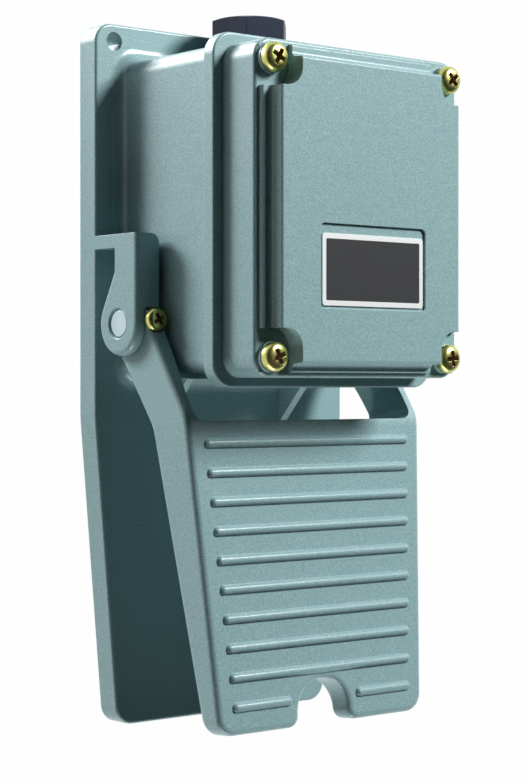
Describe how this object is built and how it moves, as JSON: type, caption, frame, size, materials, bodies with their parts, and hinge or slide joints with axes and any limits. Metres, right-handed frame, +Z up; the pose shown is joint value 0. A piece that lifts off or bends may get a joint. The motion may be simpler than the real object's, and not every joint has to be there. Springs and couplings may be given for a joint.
{
  "type": "industrial foot switch",
  "caption": "Heavy cast foot switch: a ribbed pedal on a cross shaft works changeover contacts in a sealed box with a screwed lid and a cable gland",
  "frame": {"origin": "under the middle of the whole switch, on the surface it stands on", "axes": "+Z up out of the lid, +Y from the pedal's free end towards the cable gland, +X across the pedal"},
  "size_m": [0.1166, 0.255, 0.0915],
  "materials": {
    "paint": "cast aluminium under grey-green hammertone enamel",
    "zinc_yellow": "yellow-passivated zinc on steel",
    "steel": "ground and zinc-plated steel",
    "spring_steel": "oiled spring wire",
    "bronze": "sintered bronze",
    "brass": "brass strip with silver tips",
    "rubber": "black nitrile rubber",
    "gland_plastic": "black polyamide",
    "block_plastic": "dark phenolic moulding",
    "plunger_plastic": "natural acetal",
    "plate": "aluminium plate, black field in a bare frame"
  },
  "bodies": {
    "housing": {"housing": "paint", "lid": "paint", "lid_gasket": "rubber", "shaft_seals": "rubber", "stop_buffer": "rubber", "gland_bush": "rubber", "gland_gasket": "rubber", "lid_screws": "zinc_yellow", "rating_plate": "plate", "bracket": "steel", "spring_guide": "steel", "bracket_screws": "steel", "block_screws": "steel", "cover_screws": "steel", "gland_locknut": "gland_plastic", "return_spring": "spring_steel", "plunger_spring": "spring_steel", "shaft_bushes": "bronze", "earth_screw": "brass", "earth_washer": "brass", "contact_block": "block_plastic", "block_cover": "block_plastic", "closed_contacts": "brass", "open_contacts": "brass", "terminal_screws": "steel", "gland_body": "gland_plastic", "gland_nut": "gland_plastic"},
    "pedal": {"pedal": "paint", "pivot_shaft": "steel", "locking_screws": "zinc_yellow", "lever": "steel", "lever_screw": "steel"},
    "plunger": {"plunger": "plunger_plastic", "contact_bridge": "brass"}
  },
  "joints": [
    {"name": "pedal_hinge", "type": "hinge", "parent": "housing", "child": "pedal", "pos_m": [0, 0.0157, 0.0228], "axis": [1, 0, 0], "range_deg": [0, 7], "stiffness_Nm_per_rad": 6.8, "springref_deg": -11.46, "deforming": ["return_spring"]},
    {"name": "plunger_slide", "type": "slide", "parent": "housing", "child": "plunger", "axis": [0, 0, 1], "range_m": [0, 0.0044], "deforming": ["plunger_spring"]}
  ],
  "couplings": [
    {"joint": "plunger_slide", "follows": "pedal_hinge", "m_per_rad": 0.036}
  ]
}
